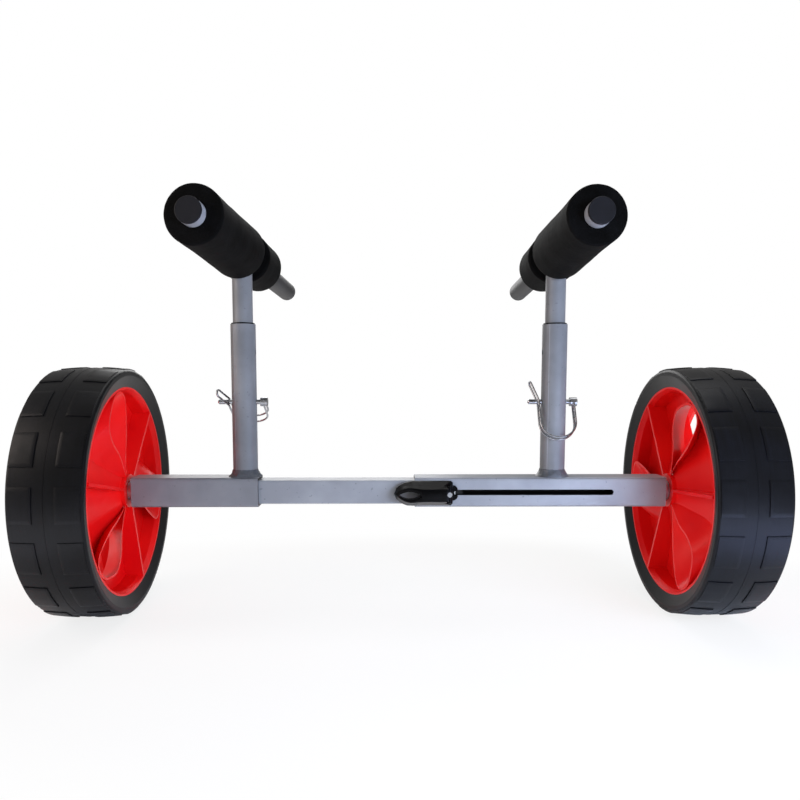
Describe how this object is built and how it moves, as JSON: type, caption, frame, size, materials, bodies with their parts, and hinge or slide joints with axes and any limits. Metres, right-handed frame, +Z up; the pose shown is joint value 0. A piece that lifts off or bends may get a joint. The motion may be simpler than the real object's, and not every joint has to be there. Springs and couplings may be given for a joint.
{
  "type": "paddleboard cart",
  "caption": "Two-wheeled beach cart for a paddleboard: telescoping square beam with cam clamp, height-adjustable padded T-bars and solid-tyred wheels.",
  "frame": {"origin": "where the board rests: midway between the two pads, on their top line above the posts", "axes": "+X to the right along the beam, +Y to the rear, +Z up"},
  "size_m": [0.6786, 0.3554, 0.3965],
  "materials": {
    "silver_paint": "satin silver-grey paint",
    "red_plastic": "glossy red moulding",
    "tyre_rubber": "smooth black tyre",
    "black_foam": "matt closed-cell foam",
    "zinc_steel": "bright zinc",
    "black_plastic": "glossy black moulding",
    "cap_plastic": "dark grey plug",
    "axle_steel": "turned steel"
  },
  "bodies": {
    "left_half": {"left_outer_tube": "silver_paint", "inner_tube": "silver_paint", "left_axle": "axle_steel", "left_axle_washer": "zinc_steel", "left_split_pin": "zinc_steel", "left_upright": "silver_paint", "left_upright_weld": "silver_paint", "left_lock_pin": "zinc_steel", "left_pin_bail": "zinc_steel", "cam_stud": "zinc_steel", "cam_nut": "zinc_steel", "cam_washer": "zinc_steel", "cam_saddle": "black_plastic", "cam_pivot": "zinc_steel", "cam_lever": "black_plastic"},
    "right_half": {"right_outer_tube": "silver_paint", "right_axle": "axle_steel", "right_axle_washer": "zinc_steel", "right_split_pin": "zinc_steel", "right_upright": "silver_paint", "right_upright_weld": "silver_paint", "right_lock_pin": "zinc_steel", "right_pin_bail": "zinc_steel"},
    "left_wheel": {"left_tyre": "tyre_rubber", "left_rim": "red_plastic"},
    "left_t_bar": {"left_post": "silver_paint", "left_crossbar": "silver_paint", "left_front_cap": "cap_plastic", "left_rear_cap": "cap_plastic", "left_front_pad": "black_foam", "left_rear_pad": "black_foam"},
    "right_wheel": {"right_tyre": "tyre_rubber", "right_rim": "red_plastic"},
    "right_t_bar": {"right_post": "silver_paint", "right_crossbar": "silver_paint", "right_front_cap": "cap_plastic", "right_rear_cap": "cap_plastic", "right_front_pad": "black_foam", "right_rear_pad": "black_foam"}
  },
  "joints": [
    {"name": "width_slide", "type": "slide", "parent": "left_half", "child": "right_half", "axis": [1, 0, 0], "range_m": [-0.15, 0]},
    {"name": "left_wheel_spin", "type": "hinge", "parent": "left_half", "child": "left_wheel", "pos_m": [-0.3058, 0, -0.26324], "axis": [1, 0, 0], "continuous": true},
    {"name": "left_post_slide", "type": "slide", "parent": "left_half", "child": "left_t_bar", "axis": [0, 0, 1], "range_m": [0, 0.05]},
    {"name": "right_wheel_spin", "type": "hinge", "parent": "right_half", "child": "right_wheel", "pos_m": [0.3058, 0, -0.26324], "axis": [1, 0, 0], "continuous": true},
    {"name": "right_post_slide", "type": "slide", "parent": "right_half", "child": "right_t_bar", "axis": [0, 0, 1], "range_m": [0, 0.05]}
  ]
}
